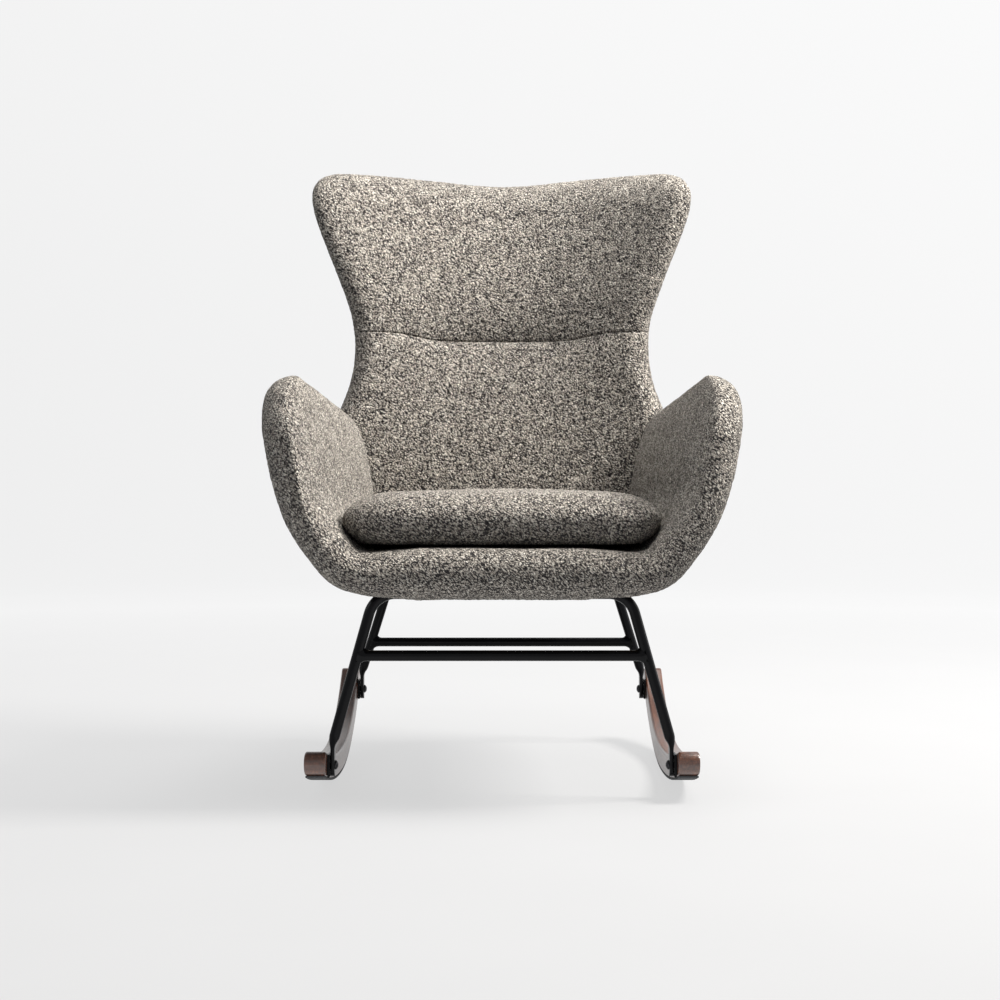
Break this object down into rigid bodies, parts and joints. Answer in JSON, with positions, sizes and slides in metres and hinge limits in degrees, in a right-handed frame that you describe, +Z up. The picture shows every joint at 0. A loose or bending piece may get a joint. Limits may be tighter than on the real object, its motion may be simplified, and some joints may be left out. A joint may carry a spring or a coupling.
{
  "type": "rocking chair",
  "caption": "Wing-back upholstered rocking chair: tub seat with loose cushion on bent black tube frames and curved wooden rockers.",
  "frame": {"origin": "middle of the bounding box, on the floor under the chair", "axes": "+Z up, the sitter faces -Y, +X is the sitter's left"},
  "size_m": [0.694, 0.7689, 1.0192],
  "materials": {
    "boucle": "melange boucle, cream, taupe and charcoal loops, matt",
    "cushion_boucle": "melange boucle, cream, taupe and charcoal loops, matt",
    "black_steel": "black powder coat, semi-gloss",
    "rocker_wood": "pale limed bent wood with walnut-stained front ends, satin lacquer",
    "grip_rubber": "dark grey, matt",
    "black_bolt": "black oxide, satin",
    "zinc": "zinc plated",
    "plywood": "raw plywood",
    "black_lining": "black non-woven lining"
  },
  "bodies": {
    "chair": {"seat_base_pad": "boucle", "arm_pad_left": "boucle", "arm_pad_right": "boucle", "back_lower_pad": "boucle", "head_pad": "boucle", "outer_back_cover": "boucle", "rocker_left": "rocker_wood", "grip_strip_left": "grip_rubber", "arm_board_left": "plywood", "rocker_spacer_front_left": "black_steel", "rocker_bolt_front_left": "black_bolt", "rocker_insert_front_left": "zinc", "seat_plate_front_left": "black_steel", "seat_bolt_front_left": "black_bolt", "seat_tee_nut_front_left": "zinc", "rocker_spacer_rear_left": "black_steel", "rocker_bolt_rear_left": "black_bolt", "rocker_insert_rear_left": "zinc", "seat_plate_rear_left": "black_steel", "seat_bolt_rear_left": "black_bolt", "seat_tee_nut_rear_left": "zinc", "rocker_right": "rocker_wood", "grip_strip_right": "grip_rubber", "arm_board_right": "plywood", "rocker_spacer_front_right": "black_steel", "rocker_bolt_front_right": "black_bolt", "rocker_insert_front_right": "zinc", "seat_plate_front_right": "black_steel", "seat_bolt_front_right": "black_bolt", "seat_tee_nut_front_right": "zinc", "rocker_spacer_rear_right": "black_steel", "rocker_bolt_rear_right": "black_bolt", "rocker_insert_rear_right": "zinc", "seat_plate_rear_right": "black_steel", "seat_bolt_rear_right": "black_bolt", "seat_tee_nut_rear_right": "zinc", "front_leg_frame": "black_steel", "front_crossbar": "black_steel", "rear_leg_frame": "black_steel", "rear_crossbar": "black_steel", "back_board": "plywood", "seat_board": "plywood", "dust_cover": "black_lining"},
    "cushion": {"seat_cushion": "cushion_boucle"}
  },
  "joints": [
    {"name": "cushion_lift", "type": "slide", "parent": "chair", "child": "cushion", "axis": [0, 0, 1], "range_m": [0, 0.2]}
  ]
}
